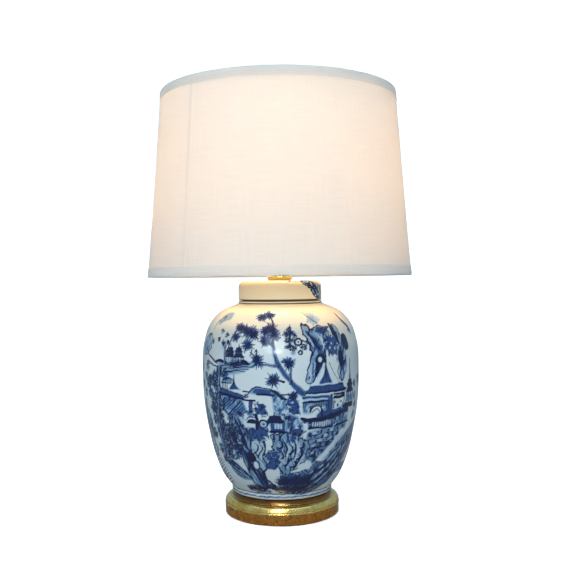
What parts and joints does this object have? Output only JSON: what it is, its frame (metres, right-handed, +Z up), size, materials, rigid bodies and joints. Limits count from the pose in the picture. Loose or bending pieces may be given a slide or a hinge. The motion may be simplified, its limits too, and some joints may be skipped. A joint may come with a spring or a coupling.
{
  "type": "ginger jar table lamp",
  "caption": "Blue-and-white porcelain ginger jar table lamp on a gilded turned base, with a round tapered drum shade on a harp.",
  "frame": {"origin": "centre of the felt's underside, where the lamp stands on a table", "axes": "+Z up along the pipe; the painted front faces -Y and the cord inlet is at +Y; the harp lies in the XZ plane"},
  "size_m": [0.4064, 0.4064, 0.6668],
  "materials": {
    "green_felt": "woven felt, matte",
    "gold_leaf": "turned wood, gold leaf over red clay, burnished",
    "zinc_steel": "zinc plated",
    "black_bush": "moulded, satin",
    "gasket_rubber": "matte",
    "painted_porcelain": "white porcelain painted in cobalt blue under a clear glaze",
    "polished_brass": "polished and lacquered",
    "black_moulding": "moulded",
    "screw_brass": "rolled sheet, dull",
    "liner_board": "rolled fibre board",
    "knob_plastic": "moulded, fluted",
    "cap_aluminium": "rolled sheet",
    "black_glass": "fused black insulator",
    "solder": "dull",
    "frosted_glass": "frosted inside, lit warm white",
    "stem_glass": "clear",
    "lead_wire": "drawn wire",
    "filament": "coiled wire, glowing",
    "shade_linen": "off-white cloth laminated on a stiff liner",
    "binding_tape": "ribbed white tape",
    "white_wire": "white enamel on steel wire"
  },
  "bodies": {
    "stand": {"felt_pad": "green_felt", "turned_base": "gold_leaf", "base_washer": "zinc_steel", "lock_washer": "zinc_steel", "base_nut": "zinc_steel", "threaded_pipe": "zinc_steel", "cord_gland": "black_bush", "jar_gasket": "gasket_rubber", "pipe_grommet": "gasket_rubber", "jar_body": "painted_porcelain", "jar_lid": "painted_porcelain", "lid_cap": "polished_brass", "neck_tube": "polished_brass", "harp_saddle": "polished_brass", "harp": "polished_brass", "socket_cap": "polished_brass", "socket_set_screw": "zinc_steel", "socket_moulding": "black_moulding", "terminal_screws": "screw_brass", "socket_screw_shell": "screw_brass", "centre_contact": "screw_brass", "socket_liner": "liner_board", "socket_shell": "polished_brass"},
    "swivel": {"harp_swivel": "polished_brass"},
    "shade": {"shade_panel": "shade_linen", "shade_top_tape": "binding_tape", "shade_bottom_tape": "binding_tape", "shade_spider": "white_wire", "shade_bottom_ring": "white_wire"},
    "finial": {"finial": "polished_brass"},
    "bulb": {"bulb_cap": "cap_aluminium", "bulb_insulator": "black_glass", "bulb_contact": "solder", "bulb_glass": "frosted_glass", "bulb_stem": "stem_glass", "bulb_leads": "lead_wire", "bulb_filament": "filament"},
    "switch": {"switch_shaft": "zinc_steel", "switch_knob": "knob_plastic"},
    "sleeve_left": {"harp_sleeve_left": "polished_brass"},
    "sleeve_right": {"harp_sleeve_right": "polished_brass"}
  },
  "joints": [
    {"name": "shade_turn", "type": "hinge", "parent": "stand", "child": "swivel", "pos_m": [0, 0, 0.631], "axis": [0, 0, 1], "continuous": true},
    {"name": "shade_lift", "type": "slide", "parent": "swivel", "child": "shade", "axis": [0, 0, 1], "range_m": [0, 0.3]},
    {"name": "finial_turn", "type": "hinge", "parent": "shade", "child": "finial", "pos_m": [0, 0, 0.6328], "axis": [0, 0, 1], "continuous": true},
    {"name": "bulb_lift", "type": "slide", "parent": "stand", "child": "bulb", "axis": [0, 0, 1], "range_m": [0, 0.03]},
    {"name": "switch_turn", "type": "hinge", "parent": "stand", "child": "switch", "pos_m": [0, -0.0222, 0.4423], "axis": [0, -1, 0], "continuous": true},
    {"name": "left_sleeve_lift", "type": "slide", "parent": "stand", "child": "sleeve_left", "axis": [0, 0, 1], "range_m": [0, 0.012]},
    {"name": "right_sleeve_lift", "type": "slide", "parent": "stand", "child": "sleeve_right", "axis": [0, 0, 1], "range_m": [0, 0.012]}
  ]
}
